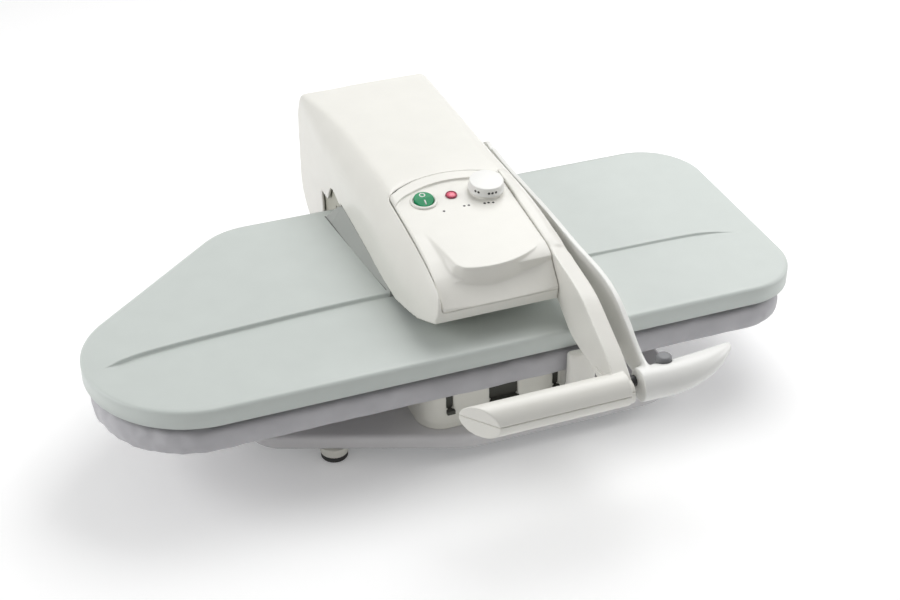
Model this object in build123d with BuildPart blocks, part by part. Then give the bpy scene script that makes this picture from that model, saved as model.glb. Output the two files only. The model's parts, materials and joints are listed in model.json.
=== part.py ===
from build123d import *
import os
from math import atan2, cos, radians, sin

os.makedirs("parts", exist_ok=True)

# Steam ironing press, closed. Millimetres, +Z up, +X along the board.
# The origin is on the ground below the middle of the whole press.
# A length "along" starts at the board's pointed end, a "depth" at the front edge
# of the pressing plate's cover, and a "height" at the top edge of that cover.

# Driving dimensions
PLATE_LENGTH = 664
PLATE_DEPTH = 279
FRONT = -144
RIM = 117
LEFT = -PLATE_LENGTH / 2
COVER_HEIGHT = 18
COVER_WALL = 3
COVER_ROUND = 6
PLATE_THICK = 8
PLATE_LOW = -22
BOARD_TOP = -22.4
BOARD_LOW = -47.5
TRAY_TOP = -88
TRAY_LOW = -102
FOOT_TIP = -117
ARM_ALONG = 359
ARM_WIDTH = 146
WALL = 3
HINGE_DEPTH = 358
HINGE_HEIGHT = -22
HINGE_R = 6
LEVER_DEPTH = 248
LEVER_HEIGHT = 48
LEVER_SHAFT_R = 5
GRIP_DEPTH = -95
GRIP_R = 15
LEVER_LEFT = 414.8
LEVER_RIGHT = 431.5
LEVER_DROP = 4
LEVER_END_R = 87
BLADE_THICK = 4.5
BLADE_BOW = 450.5
PAD_TILT = 5.5
RUNNING = 0.05
SEAM = 0.4
POCKET_LEFT = 414.2

# The wedge under the arm, which the arm's flanks rest on
WEDGE_FRONT = 103
WEDGE_BACK = 267
WEDGE_LOW = 4
WEDGE_HIGH = 18

# Places of the controls on the fascia: along, depth
SWITCH_AT = (331.7, 142.3)
LAMP_AT = (359.3, 143.5)
KNOB_AT = (393, 141.5)
KNOB_R = 17.3
KNOB_RISE = 2.9
KNOB_HEIGHT = 9
RING_R = 13
ROCKER_R = 9.2
# The rocker turns about a pin this far below the pad
ROCKER_PIVOT = 2
# The control pad's plane passes through this depth and height
PAD_DEPTH = 131
PAD_HEIGHT = 71.9


def spot(along, depth):
    """Plan position of a point."""
    return (LEFT + along, FRONT + depth)


def side(depth, height):
    """Position in a lengthways section, for sketches on a YZ plane."""
    return (FRONT + depth, RIM + height)


def level(height):
    """Horizontal plane at a height."""
    return Plane.XY.offset(RIM + height)


def across(along):
    """Upright plane that faces along the board."""
    return Plane.YZ.offset(LEFT + along)


def station(depth):
    """Upright plane that faces the front, at a depth."""
    return Plane.XZ.offset(-(FRONT + depth))


def plate_outline(inset=0, shift=(0, 0)):
    """Plan of the pressing plate: pointed left end, slanted shoulder, round right end."""
    with BuildSketch() as outline:
        with BuildLine():
            front = Line(spot(100, 0), spot(609, 0))
            low_corner = TangentArc(front @ 1, spot(664, 55), tangent=front % 1)
            end = Line(low_corner @ 1, spot(664, 217))
            high_corner = TangentArc(end @ 1, spot(602, 279), tangent=end % 1)
            back = Line(high_corner @ 1, spot(193, 279))
            shoulder = TangentArc(back @ 1, spot(149, 263), tangent=back % 1)
            slant = Line(shoulder @ 1, spot(28.8, 161.9))
            nose = TangentArc(slant @ 1, spot(0, 100), tangent=slant % 1)
            Line(nose @ 1, nose @ 1 + (0, -0.01))
            TangentArc(nose @ 1 + (0, -0.01), spot(100, 0), tangent=(0, -1))
        make_face()
        if inset:
            offset(amount=-inset)
    return Pos(*shift) * outline.sketch


def base_outline(inset=0):
    """Plan of the base tray: straight front, cut-off front left corner."""
    with BuildSketch() as outline:
        with BuildLine():
            FilletPolyline(spot(318, -6), spot(540, -6), spot(540, 392), spot(138, 392), spot(138, 62),
                           radius=[60, 45, 60, 60, 34], close=True)
        make_face()
        if inset:
            offset(amount=-inset)
    return outline.sketch


def wedge_plane():
    """Slanted plane on top of the wedge, with its x axis along the board."""
    slope = atan2(WEDGE_HIGH - WEDGE_LOW, WEDGE_BACK - WEDGE_FRONT)
    origin = (LEFT + ARM_ALONG, FRONT + WEDGE_FRONT, RIM + WEDGE_LOW)
    return Plane(origin=origin, x_dir=(1, 0, 0), z_dir=(0, -sin(slope), cos(slope)))


def pad_plane(rise=0, at=(ARM_ALONG, PAD_DEPTH)):
    """Tilted plane of the control pad, with its origin above a plan position."""
    tilt = radians(PAD_TILT)
    drop = (at[1] - PAD_DEPTH) * sin(tilt) / cos(tilt)
    origin = (*spot(*at), RIM + PAD_HEIGHT + drop)
    plane = Plane(origin=origin, x_dir=(1, 0, 0), z_dir=(0, -sin(tilt), cos(tilt)))
    return plane.offset(rise)


def pad_spot(along, depth):
    """Place of a plan position in the control pad's own plane."""
    return (along - ARM_ALONG, (depth - PAD_DEPTH) / cos(radians(PAD_TILT)))


# Cross-sections of the arm, back to front: depth, left flank, crease height,
# left shoulder width, right shoulder width, right shoulder drop, top height
ARM_SECTIONS = [
    (402, 286, 72, 4, 31, 24, 79),
    (340, 286, 52, 12, 31, 24, 80),
    (250, 286, 43, 18, 31, 23, 80.5),
    (158, 286, 35, 20, 27, 13, 77.5),
    (98, 286.5, 28, 22, 22, 8, 72),
    (50, 291, 24, 20, 20, 7, 65),
    (16, 299, 22, 17, 18, 6, 61),
]


def arm_hull(inset):
    """Loft through the arm's cross-sections, which gives its shoulders."""
    with BuildPart() as hull:
        for depth, flank, crease, shoulder, right_shoulder, drop, top in ARM_SECTIONS:
            left = LEFT + flank + inset
            right = LEFT + ARM_ALONG + ARM_WIDTH / 2 - inset
            low = RIM - 80
            high = RIM + top - inset
            bend = RIM + crease - inset
            with BuildSketch(station(depth)):
                with BuildLine():
                    Line((left, low), (left, bend))
                    ThreePointArc((left, bend), (left + shoulder * 0.36, bend * 0.36 + high * 0.64),
                                  (left + shoulder, high))
                    ThreePointArc((left + shoulder, high), ((left + right) / 2, high + 1.5),
                                  (right - right_shoulder, high))
                    ThreePointArc((right - right_shoulder, high),
                                  (right - right_shoulder * 0.29, high - drop * 0.29),
                                  (right, high - drop))
                    Polyline((right, high - drop), (right, low), (left, low))
                make_face()
        loft()
    return hull.part


def arm_form():
    """Outer form of the arm: its side profile drawn across, with the lofted shoulders."""
    with BuildPart() as form:
        with BuildSketch(across(ARM_ALONG - ARM_WIDTH / 2 - 1)):
            with BuildLine():
                Spline(side(388, 75), side(320, 79), side(240, 80), side(158, 77),
                       side(106, 71.5), side(63, 66.5), side(40, 60), side(27, 49),
                       side(19.5, 33))
                Polyline(side(19.5, 33), side(22, 22), side(50, 12), side(98, 4.3), side(258, 17.7))
                Polyline(side(258, 17.7), side(322, 17.7), side(318, HINGE_HEIGHT))
                ThreePointArc(side(318, HINGE_HEIGHT), side(358, HINGE_HEIGHT - 40),
                              side(398, HINGE_HEIGHT))
                Line(side(398, HINGE_HEIGHT), side(398, 45))
                ThreePointArc(side(398, 45), side(395.5, 62), side(388, 75))
            make_face()
        extrude(amount=ARM_WIDTH + 2)
        add(arm_hull(0), mode=Mode.INTERSECT)
    return form.part


def arm_cavity():
    """Inside of the arm, open below, and kept clear of the lever's pocket at the right."""
    with BuildPart() as inside:
        with BuildSketch(across(ARM_ALONG - ARM_WIDTH / 2 - 1)):
            with BuildLine():
                Spline(side(386, 72), side(320, 76), side(240, 77), side(158, 74),
                       side(106, 68.5), side(62, 62))
                Polyline(side(62, 62), side(36, 37), side(26, 30), side(64, 14), side(64, -70),
                         side(395, -70), side(395, 46), side(386, 72))
            make_face()
        extrude(amount=ARM_WIDTH + 2)
        add(arm_hull(WALL), mode=Mode.INTERSECT)
        add(lever_pocket(WALL), mode=Mode.SUBTRACT)
    return inside.part


def lever_end(radius, start, stop):
    """Block that ends in a round face about the lever's hub and runs forward from it."""
    rise = 47
    reach = (radius ** 2 - rise ** 2) ** 0.5
    with BuildPart() as block:
        with BuildSketch(across(start)):
            with BuildLine():
                foot = side(LEVER_DEPTH - reach, LEVER_HEIGHT - rise)
                top = side(LEVER_DEPTH - reach, LEVER_HEIGHT + rise)
                ThreePointArc(foot, side(LEVER_DEPTH - radius, LEVER_HEIGHT), top)
                Polyline(top, side(-20, LEVER_HEIGHT + rise), side(-20, LEVER_HEIGHT - rise), foot)
            make_face()
        extrude(amount=stop - start)
    return block.part


def lever_pocket(wall=0):
    """Space of the lever along the right shoulder."""
    return lever_end(LEVER_END_R - SEAM, POCKET_LEFT - wall, POCKET_LEFT + 40)


# Base tray: shallow moulded shell with a rounded rim, open below
with BuildPart() as base_tray:
    with BuildSketch(level(TRAY_LOW)):
        add(base_outline())
    extrude(amount=TRAY_TOP - TRAY_LOW)
    fillet(base_tray.faces().sort_by(Axis.Z)[-1].edges(), radius=5)
    with BuildSketch(level(TRAY_LOW)):
        add(base_outline(WALL))
    extrude(amount=TRAY_TOP - TRAY_LOW - WALL, mode=Mode.SUBTRACT)

# Steel sheet that closes the tray from below
with BuildPart() as base_plate:
    with BuildSketch(level(TRAY_LOW + 0.5)):
        add(base_outline(WALL + 0.4))
    extrude(amount=1.5)

# Four feet: moulded posts with rubber pads
FEET = [spot(208, 47), spot(498, 44), spot(492, 350), spot(186, 350)]
with BuildPart() as foot_posts:
    with BuildSketch(level(TRAY_LOW)):
        with Locations(*FEET):
            Circle(14)
    extrude(amount=-9, taper=8)

with BuildPart() as foot_pads:
    with BuildSketch(level(TRAY_LOW - 9)):
        with Locations(*FEET):
            Circle(12.5)
    extrude(amount=FOOT_TIP - TRAY_LOW + 9)
    fillet(foot_pads.faces().filter_by(Axis.Z).group_by(Axis.Z)[0].edges(), radius=2)

# Pedestal that carries the board, flared at its foot and slotted along its front edge
SLOT_DEEP = 23
with BuildPart() as pedestal:
    with BuildSketch(level(TRAY_TOP)):
        with Locations(spot(359, 122)):
            RectangleRounded(156, 224, radius=26)
    extrude(amount=4, taper=50)
    with BuildSketch(level(TRAY_TOP + 4)):
        with Locations(spot(359, 122)):
            RectangleRounded(146.4, 214.4, radius=22)
    extrude(amount=BOARD_LOW - TRAY_TOP - 4, taper=5)
    with BuildSketch(level(BOARD_LOW)):
        for along, width in ((309.5, 7), (413.5, 6), (362, 28)):
            with Locations(spot(along, 12)):
                Rectangle(width, 28)
    extrude(amount=-SLOT_DEEP, mode=Mode.SUBTRACT)

# Pressed steel pan under the padding, with a raised seat on the pedestal
BOARD_SHIFT = (-3, -6.5)
with BuildPart() as board_pan:
    with BuildSketch(level(BOARD_LOW + 1.3)):
        add(plate_outline(11, BOARD_SHIFT))
    extrude(amount=5)
    fillet(board_pan.faces().sort_by(Axis.Z)[0].edges(), radius=2)
    with BuildSketch(level(BOARD_LOW)):
        with Locations(spot(359, 122)):
            RectangleRounded(138, 206, radius=20)
    extrude(amount=1.3)

def board_block(inset, low, high, top_round):
    """Solid of the board's plan between two heights, rounded along its top edge."""
    with BuildPart() as block:
        with BuildSketch(level(low)):
            add(plate_outline(inset, BOARD_SHIFT))
        extrude(amount=high - low)
        fillet(block.faces().sort_by(Axis.Z)[-1].edges(), radius=top_round)
    return block.part


# Foam padding of the board
CLOTH = 1.2
with BuildPart() as foam_pad:
    add(board_block(10, BOARD_LOW + 6.5, BOARD_TOP - CLOTH - 0.1, 8))

# Cloth cover drawn over the padding and turned in under the pan
with BuildPart() as board_cover:
    add(board_block(8, BOARD_LOW, BOARD_TOP, 10))
    fillet(board_cover.faces().sort_by(Axis.Z)[0].edges(), radius=2)
    add(board_block(8 + CLOTH, BOARD_LOW + CLOTH, BOARD_TOP - CLOTH, 10 - CLOTH), mode=Mode.SUBTRACT)
    with BuildSketch(level(BOARD_LOW)):
        add(plate_outline(24, BOARD_SHIFT))
    extrude(amount=CLOTH + 0.1, mode=Mode.SUBTRACT)

# Steel frame of the rear column: two cheeks on a foot, bored for the hinge shaft
COLUMN_FRONT = 322
COLUMN_BACK = 382
with BuildPart() as column_frame:
    for along in (312, 395):
        with BuildSketch(across(along)):
            with BuildLine():
                Polyline(side(HINGE_DEPTH + 18, HINGE_HEIGHT), side(COLUMN_BACK - 6, TRAY_TOP),
                         side(COLUMN_FRONT + 6, TRAY_TOP), side(HINGE_DEPTH - 18, HINGE_HEIGHT))
                ThreePointArc(side(HINGE_DEPTH - 18, HINGE_HEIGHT), side(HINGE_DEPTH, HINGE_HEIGHT + 18),
                              side(HINGE_DEPTH + 18, HINGE_HEIGHT))
            make_face()
            with Locations(side(HINGE_DEPTH, HINGE_HEIGHT)):
                Circle(HINGE_R + 0.02, mode=Mode.SUBTRACT)
        extrude(amount=4)
    with BuildSketch(level(TRAY_TOP)):
        with Locations(spot(355.5, (COLUMN_FRONT + COLUMN_BACK) / 2)):
            Rectangle(83, COLUMN_BACK - COLUMN_FRONT - 12)
    extrude(amount=4)

# Moulded cover of the rear column, rounded about the hinge
with BuildPart() as column_cover:
    for grow, mode in ((0, Mode.ADD), (WALL, Mode.SUBTRACT)):
        with BuildSketch(across(306 + grow)):
            with BuildLine():
                Polyline(side(HINGE_DEPTH + 25, HINGE_HEIGHT), side(COLUMN_BACK + 1, TRAY_TOP),
                         side(COLUMN_FRONT - 4, TRAY_TOP), side(HINGE_DEPTH - 25, HINGE_HEIGHT))
                ThreePointArc(side(HINGE_DEPTH - 25, HINGE_HEIGHT), side(HINGE_DEPTH, HINGE_HEIGHT + 25),
                              side(HINGE_DEPTH + 25, HINGE_HEIGHT))
            make_face()
            if grow:
                offset(amount=-grow)
        extrude(amount=99 - 2 * grow, mode=mode)
    with BuildSketch(level(TRAY_TOP)):
        with Locations(spot(355.5, 352)):
            Rectangle(93, 59)
    extrude(amount=WALL, mode=Mode.SUBTRACT)
    with BuildSketch(across(300)):
        with Locations(side(HINGE_DEPTH, HINGE_HEIGHT)):
            Circle(HINGE_R + 1)
    extrude(amount=120, mode=Mode.SUBTRACT)
    with BuildSketch(station(390)):
        with Locations((LEFT + 380, RIM - 70)):
            Circle(6.1)
    extrude(amount=14, mode=Mode.SUBTRACT)

# Empty gland where the mains lead enters the column
with BuildPart() as cord_gland:
    with BuildSketch(station(388.4)):
        with Locations((LEFT + 380, RIM - 70)):
            Circle(9)
            Circle(3.6, mode=Mode.SUBTRACT)
    extrude(amount=5)
    with BuildSketch(station(388.4)):
        with Locations((LEFT + 380, RIM - 70)):
            Circle(6)
            Circle(3.6, mode=Mode.SUBTRACT)
    extrude(amount=12)

# Hinge shaft with its two clips, and the torsion spring that balances the arm
with BuildPart() as hinge_shaft:
    with BuildSketch(across(292)):
        with Locations(side(HINGE_DEPTH, HINGE_HEIGHT)):
            Circle(HINGE_R)
    extrude(amount=127)

with BuildPart() as hinge_clips:
    for along in (293.5, 415.5):
        with BuildSketch(across(along)):
            with Locations(side(HINGE_DEPTH, HINGE_HEIGHT)):
                Circle(HINGE_R + 4)
                Circle(HINGE_R, mode=Mode.SUBTRACT)
        extrude(amount=1.5)

with BuildPart() as balance_spring:
    with BuildSketch(across(320)):
        with Locations(side(HINGE_DEPTH, HINGE_HEIGHT)):
            Circle(HINGE_R + 7)
            Circle(HINGE_R + 2, mode=Mode.SUBTRACT)
    extrude(amount=71)

# Post at the board's front edge that the handle is locked down to
with BuildPart() as lock_post:
    with BuildSketch(level(TRAY_TOP)):
        with Locations(spot(426.5, 3.5)):
            RectangleRounded(33, 11, radius=4)
    with BuildSketch(level(TRAY_TOP + 36)):
        with Locations(spot(426.5, -8)):
            RectangleRounded(27, 10, radius=4)
    loft()
    with BuildSketch(level(TRAY_TOP + 36)):
        with Locations(spot(426.5, -8)):
            RectangleRounded(27, 10, radius=4)
    extrude(amount=-19 - TRAY_TOP - 36)
    fillet(lock_post.faces().sort_by(Axis.Z)[-1].edges(), radius=3)

# Cover of the pressing plate, with the wedge that the arm rests on and two creases
CREASE_DEPTH = 1.4
with BuildPart() as plate_cover:
    with BuildSketch(level(-COVER_HEIGHT)):
        add(plate_outline())
    extrude(amount=COVER_HEIGHT)
    fillet(plate_cover.faces().sort_by(Axis.Z)[-1].edges(), radius=COVER_ROUND)
    with BuildSketch(level(-1)):
        with BuildLine():
            Polyline(spot(271, WEDGE_BACK), spot(447, WEDGE_BACK), spot(432, WEDGE_FRONT),
                     spot(286, WEDGE_FRONT), close=True)
        make_face()
    with BuildSketch(wedge_plane()):
        with Locations((0, (WEDGE_BACK - WEDGE_FRONT) / 2)):
            Rectangle(ARM_WIDTH, WEDGE_BACK - WEDGE_FRONT)
    loft(ruled=True)
    with BuildSketch(level(-COVER_HEIGHT)):
        add(plate_outline(COVER_WALL))
    extrude(amount=COVER_HEIGHT - COVER_WALL, mode=Mode.SUBTRACT)
    with BuildSketch(level(-COVER_HEIGHT)):
        with Locations(spot(356, 186)):
            RectangleRounded(112, 138, radius=8)
    extrude(amount=60, mode=Mode.SUBTRACT)
    with BuildSketch(level(0)):
        with BuildLine():
            Spline(spot(20, 91), spot(55, 99), spot(144, 105.5), spot(276, 110.5))
            Line(spot(276, 110.5), spot(276, 114.5))
            Spline(spot(276, 114.5), spot(144, 109.5), spot(55, 102), spot(20, 91))
        make_face()
        with BuildLine():
            Spline(spot(645, 90), spot(614, 100.5), spot(540, 105), spot(444, 106))
            Line(spot(444, 106), spot(444, 110))
            Spline(spot(444, 110), spot(540, 109), spot(614, 104), spot(645, 90))
        make_face()
    extrude(amount=-CREASE_DEPTH, mode=Mode.SUBTRACT)

# Cast pressing plate, with the steam chamber on its back
with BuildPart() as heating_plate:
    with BuildSketch(level(PLATE_LOW)):
        add(plate_outline(9))
    extrude(amount=PLATE_THICK)
    fillet(heating_plate.faces().sort_by(Axis.Z)[0].edges(), radius=3)
    with BuildSketch(level(PLATE_LOW + PLATE_THICK)):
        with Locations(spot(358, 190)):
            RectangleRounded(62, 84, radius=10)
    extrude(amount=20)

# Tubular heating element laid on the back of the plate
ELEMENT_R = 3.4
ELEMENT_HEIGHT = PLATE_LOW + PLATE_THICK + ELEMENT_R + 0.1
with BuildPart() as heating_element:
    with BuildLine() as run:
        turns = [(310, 60), (110, 45), (70, 120), (180, 225), (250, 258), (600, 255), (615, 60), (400, 60)]
        FilletPolyline(*[(*spot(*turn), RIM + ELEMENT_HEIGHT) for turn in turns], radius=28)
    with BuildSketch(Plane(origin=run.line @ 0, z_dir=run.line % 0)):
        Circle(ELEMENT_R)
    sweep()

# Insulating mat between the element and the cover
with BuildPart() as insulation_mat:
    with BuildSketch(level(-6.6)):
        add(plate_outline(16))
        with Locations(spot(356, 186)):
            RectangleRounded(116, 142, radius=8, mode=Mode.SUBTRACT)
    extrude(amount=3.2)

# Posts that hang the plate from the arm's frame
POSTS = [spot(318, 132), spot(394, 132), spot(318, 242), spot(394, 242)]
FRAME_LOW = 20
with BuildPart() as plate_posts:
    with BuildSketch(level(PLATE_LOW + PLATE_THICK)):
        with Locations(*POSTS):
            Circle(7)
    extrude(amount=FRAME_LOW - PLATE_LOW - PLATE_THICK)

# Steel frame of the arm: two side plates bored for the hinge and the lever shaft
BUSH_R = 9
with BuildPart() as arm_frame:
    for along in (300, 408):
        with BuildSketch(across(along)):
            with BuildLine():
                Polyline(side(HINGE_DEPTH + 18, HINGE_HEIGHT), side(370, 26), side(300, 62),
                         side(200, 62), side(120, FRAME_LOW + 14), side(112, FRAME_LOW),
                         side(322, FRAME_LOW), side(HINGE_DEPTH - 18, HINGE_HEIGHT))
                ThreePointArc(side(HINGE_DEPTH - 18, HINGE_HEIGHT), side(HINGE_DEPTH, HINGE_HEIGHT - 18),
                              side(HINGE_DEPTH + 18, HINGE_HEIGHT))
            make_face()
            with Locations(side(HINGE_DEPTH, HINGE_HEIGHT)):
                Circle(BUSH_R + 0.02, mode=Mode.SUBTRACT)
            with Locations(side(LEVER_DEPTH, LEVER_HEIGHT)):
                Circle(LEVER_SHAFT_R + 0.02, mode=Mode.SUBTRACT)
        extrude(amount=3)
    with BuildSketch(level(FRAME_LOW)):
        with Locations(spot(355.5, 190)):
            Rectangle(111, 156)
        with Locations(spot(351, 131)):
            Circle(5, mode=Mode.SUBTRACT)
    extrude(amount=3)

# Flanged bushes pressed into the frame, running on the hinge shaft
with BuildPart() as hinge_bushes:
    for along, turn in ((304.6, -1), (406.4, 1)):
        with BuildSketch(across(along)):
            with Locations(side(HINGE_DEPTH, HINGE_HEIGHT)):
                Circle(BUSH_R + 3)
                Circle(HINGE_R + RUNNING, mode=Mode.SUBTRACT)
        extrude(amount=turn * 1.5)
        with BuildSketch(across(along)):
            with Locations(side(HINGE_DEPTH, HINGE_HEIGHT)):
                Circle(BUSH_R)
                Circle(HINGE_R + RUNNING, mode=Mode.SUBTRACT)
        extrude(amount=turn * 8)

# Arm housing: moulded shell, open below, with a pocket for the handle's lever
def fascia_prism(shrink):
    """Upright prism over the fascia's plan, an arch at the back."""
    with BuildPart() as prism:
        with BuildSketch(level(33 + shrink)):
            with BuildLine():
                arch = ThreePointArc(spot(303.5 + shrink, 157 - shrink), spot(359.5, 178 - shrink),
                                     spot(POCKET_LEFT, 161 - shrink))
                Polyline(arch @ 1, spot(POCKET_LEFT, 5), spot(303.5 + shrink, 5), arch @ 0)
            make_face()
        extrude(amount=60)
    return prism.part


with BuildPart() as arm_skin:
    add(arm_form())
    add(lever_pocket(), mode=Mode.SUBTRACT)
    add(arm_cavity(), mode=Mode.SUBTRACT)

with BuildPart() as arm_housing:
    add(arm_skin.part)
    add(fascia_prism(0), mode=Mode.SUBTRACT)
    # Rear wall cut off at the height of the hinge, between the two round ears
    with BuildSketch(level(-70)):
        with Locations(spot(ARM_ALONG, 380)):
            Rectangle(ARM_WIDTH - 2 * WALL, 60)
    extrude(amount=70 + HINGE_HEIGHT, mode=Mode.SUBTRACT)
    # Two-lobed notch in each flank's lower edge
    with BuildSketch(across(280)):
        with BuildLine():
            Polyline(side(262, 10), side(262, 22), side(270, 25), side(280, 19), side(289, 27),
                     side(300, 29), side(310, 22), side(320, 26), side(320, 10), close=True)
        make_face()
    extrude(amount=160, mode=Mode.SUBTRACT)
    # Way through for the lever shaft
    with BuildSketch(across(425)):
        with Locations(side(LEVER_DEPTH, LEVER_HEIGHT)):
            Circle(LEVER_SHAFT_R + 0.3)
    extrude(amount=12, mode=Mode.SUBTRACT)

def pad_block():
    """The control pad with its flared sides, from the pad's plane down into the fascia."""
    with BuildPart() as block:
        with BuildSketch(pad_plane()):
            with BuildLine():
                top = ThreePointArc(pad_spot(312, 147), pad_spot(361, 160), pad_spot(408.5, 147))
                right_edge = Line(top @ 1, pad_spot(408, 64))
                right_corner = ThreePointArc(right_edge @ 1, pad_spot(405, 50), pad_spot(396, 43.5))
                bow = ThreePointArc(right_corner @ 1, pad_spot(361, 34.5), pad_spot(331, 39))
                left_corner = ThreePointArc(bow @ 1, pad_spot(322, 46), pad_spot(318, 64))
                Line(left_corner @ 1, top @ 0)
            make_face()
        with BuildSketch(level(40)):
            with BuildLine():
                top = ThreePointArc(spot(304, 147), spot(361, 160), spot(413, 147))
                right_edge = Line(top @ 1, spot(413, 60))
                right_corner = ThreePointArc(right_edge @ 1, spot(411.5, 45), spot(402, 39))
                bow = ThreePointArc(right_corner @ 1, spot(361, 33), spot(318, 36.5))
                left_corner = ThreePointArc(bow @ 1, spot(308, 40), spot(304, 60))
                Line(left_corner @ 1, top @ 0)
            make_face()
        loft(ruled=True)
    return block.part


def pad_recess():
    """Space above the pad's plane, up to the curved step behind the controls."""
    with BuildPart() as recess:
        with BuildSketch(pad_plane()):
            with BuildLine():
                step = ThreePointArc(pad_spot(324, 156), pad_spot(359, 165), pad_spot(398, 158))
                left_end = ThreePointArc(step @ 0, pad_spot(311, 149), pad_spot(300, 136))
                right_end = ThreePointArc(step @ 1, pad_spot(409, 154), pad_spot(418, 146))
                Polyline(right_end @ 1, pad_spot(418, 0), pad_spot(300, 0), left_end @ 1)
            make_face()
        extrude(amount=40)
    return recess.part


def fascia_cavity():
    """Inside of the arm as far as the pad's own wall."""
    with BuildPart() as inside:
        add(arm_cavity())
        with BuildSketch(pad_plane(-WALL)):
            Rectangle(200, 300)
        extrude(amount=60, mode=Mode.SUBTRACT)
    return inside.part


# Fascia: arched insert with the control pad and a scooped front
SCOOP_SIDE = 56
SCOOP_MIDDLE = 46.5
with BuildPart() as fascia:
    add(arm_skin.part)
    add(fascia_prism(SEAM), mode=Mode.INTERSECT)
    with BuildSketch(station(37)):
        with BuildLine():
            ThreePointArc((LEFT + 304, RIM + SCOOP_SIDE), (LEFT + 361, RIM + SCOOP_MIDDLE),
                          (LEFT + 418, RIM + SCOOP_SIDE))
            Polyline((LEFT + 418, RIM + SCOOP_SIDE), (LEFT + 418, RIM + 95), (LEFT + 304, RIM + 95),
                     (LEFT + 304, RIM + SCOOP_SIDE))
        make_face()
    with BuildSketch(station(16)):
        with BuildLine():
            ThreePointArc((LEFT + 304, RIM + 31.5), (LEFT + 361, RIM + 31), (LEFT + 418, RIM + 31.5))
            Polyline((LEFT + 418, RIM + 31.5), (LEFT + 418, RIM + 95), (LEFT + 304, RIM + 95),
                     (LEFT + 304, RIM + 31.5))
        make_face()
    loft(ruled=True, mode=Mode.SUBTRACT)
    # The pad sinks into the surface at the back and stands out of it at the front, as a brow
    add(pad_block())
    add(pad_recess(), mode=Mode.SUBTRACT)
    add(fascia_cavity(), mode=Mode.SUBTRACT)
    with BuildSketch(pad_plane(-1, KNOB_AT)):
        Circle(KNOB_R - 2)
    extrude(amount=KNOB_RISE + 0.5)
    for at, radius in ((SWITCH_AT, 11.1), (LAMP_AT, 4.9), (KNOB_AT, 4)):
        with BuildSketch(pad_plane(-30, at)):
            Circle(radius)
        extrude(amount=40, mode=Mode.SUBTRACT)

# Ring and barrel of the round mains switch
RING_BORE = 10
with BuildPart() as switch_housing:
    with BuildSketch(pad_plane(0, SWITCH_AT)):
        Circle(RING_R)
        Circle(RING_BORE, mode=Mode.SUBTRACT)
    extrude(amount=1.8)
    fillet(switch_housing.faces().sort_by(Axis.Z)[-1].edges(), radius=0.7)
    with BuildSketch(pad_plane(-18, SWITCH_AT)):
        Circle(RING_BORE + 1)
        Circle(RING_BORE, mode=Mode.SUBTRACT)
    extrude(amount=18)
    with BuildSketch(pad_plane(-20, SWITCH_AT)):
        Circle(RING_BORE + 1)
    extrude(amount=2)

# Round rocker of the switch: two facets that meet at a ridge, the front one pressed in
rocker_section = Plane(origin=pad_plane(0, SWITCH_AT).origin - Vector(ROCKER_R, 0, 0),
                       x_dir=pad_plane(0, SWITCH_AT).y_dir, z_dir=(1, 0, 0))
with BuildPart() as power_switch:
    with BuildSketch(pad_plane(-3, SWITCH_AT)):
        Circle(ROCKER_R)
    extrude(amount=12)
    with BuildSketch(rocker_section):
        with BuildLine():
            Polyline((-12, -0.1), (0, 4.2), (12, 4.6), (12, 14), (-12, 14), close=True)
        make_face()
    extrude(amount=2 * ROCKER_R, mode=Mode.SUBTRACT)
    with BuildSketch(rocker_section.offset(1)):
        with Locations((0, -ROCKER_PIVOT)):
            Circle(3)
    extrude(amount=2 * ROCKER_R - 2)

# Pilot lamp lens
with BuildPart() as lamp_lens:
    with BuildSketch(pad_plane(0, LAMP_AT)):
        Circle(5.5)
    extrude(amount=2)
    fillet(lamp_lens.faces().sort_by(Axis.Z)[-1].edges(), radius=1.4)
    with BuildSketch(pad_plane(-8, LAMP_AT)):
        Circle(4.7)
    extrude(amount=8)

# Thermostat below the fascia, and the knob on its spindle
with BuildPart() as thermostat:
    with BuildSketch(pad_plane(-22, KNOB_AT)):
        Circle(13)
        Circle(3 + RUNNING, mode=Mode.SUBTRACT)
    extrude(amount=16)
    with BuildSketch(pad_plane(-24, KNOB_AT)):
        Circle(13)
    extrude(amount=2)

with BuildPart() as knob_spindle:
    with BuildSketch(pad_plane(-21, KNOB_AT)):
        Circle(3)
    extrude(amount=21 + KNOB_RISE + KNOB_HEIGHT - 4)

with BuildPart() as temperature_knob:
    with BuildSketch(pad_plane(KNOB_RISE, KNOB_AT)):
        Circle(KNOB_R)
    extrude(amount=KNOB_HEIGHT, taper=1)
    fillet(temperature_knob.faces().sort_by(Axis.Z)[-1].edges(), radius=1.6)
    with BuildSketch(pad_plane(KNOB_RISE, KNOB_AT)):
        Circle(3.01)
    extrude(amount=KNOB_HEIGHT - 4, mode=Mode.SUBTRACT)

# Control board, water tank, pump and hoses inside the arm
with BuildPart() as control_board:
    with BuildSketch(level(36)):
        with Locations(spot(358, 84)):
            Rectangle(84, 44)
    extrude(amount=1.6)
    with BuildSketch(level(37.6)):
        with Locations(spot(335, 86), spot(362, 78), spot(385, 90)):
            Rectangle(16, 14)
    extrude(amount=9)

with BuildPart() as water_tank:
    with BuildSketch(level(26)):
        with Locations(spot(355.5, 246)):
            RectangleRounded(98, 128, radius=12)
    extrude(amount=38)
    fillet(water_tank.faces().sort_by(Axis.Z)[-1].edges(), radius=6)
    with BuildSketch(across(300)):
        with Locations(side(LEVER_DEPTH, LEVER_HEIGHT)):
            Circle(LEVER_SHAFT_R + 1)
    extrude(amount=112, mode=Mode.SUBTRACT)

with BuildPart() as steam_pump:
    with BuildSketch(level(24)):
        with Locations(spot(351, 138)):
            RectangleRounded(40, 44, radius=6)
    extrude(amount=20)

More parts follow.
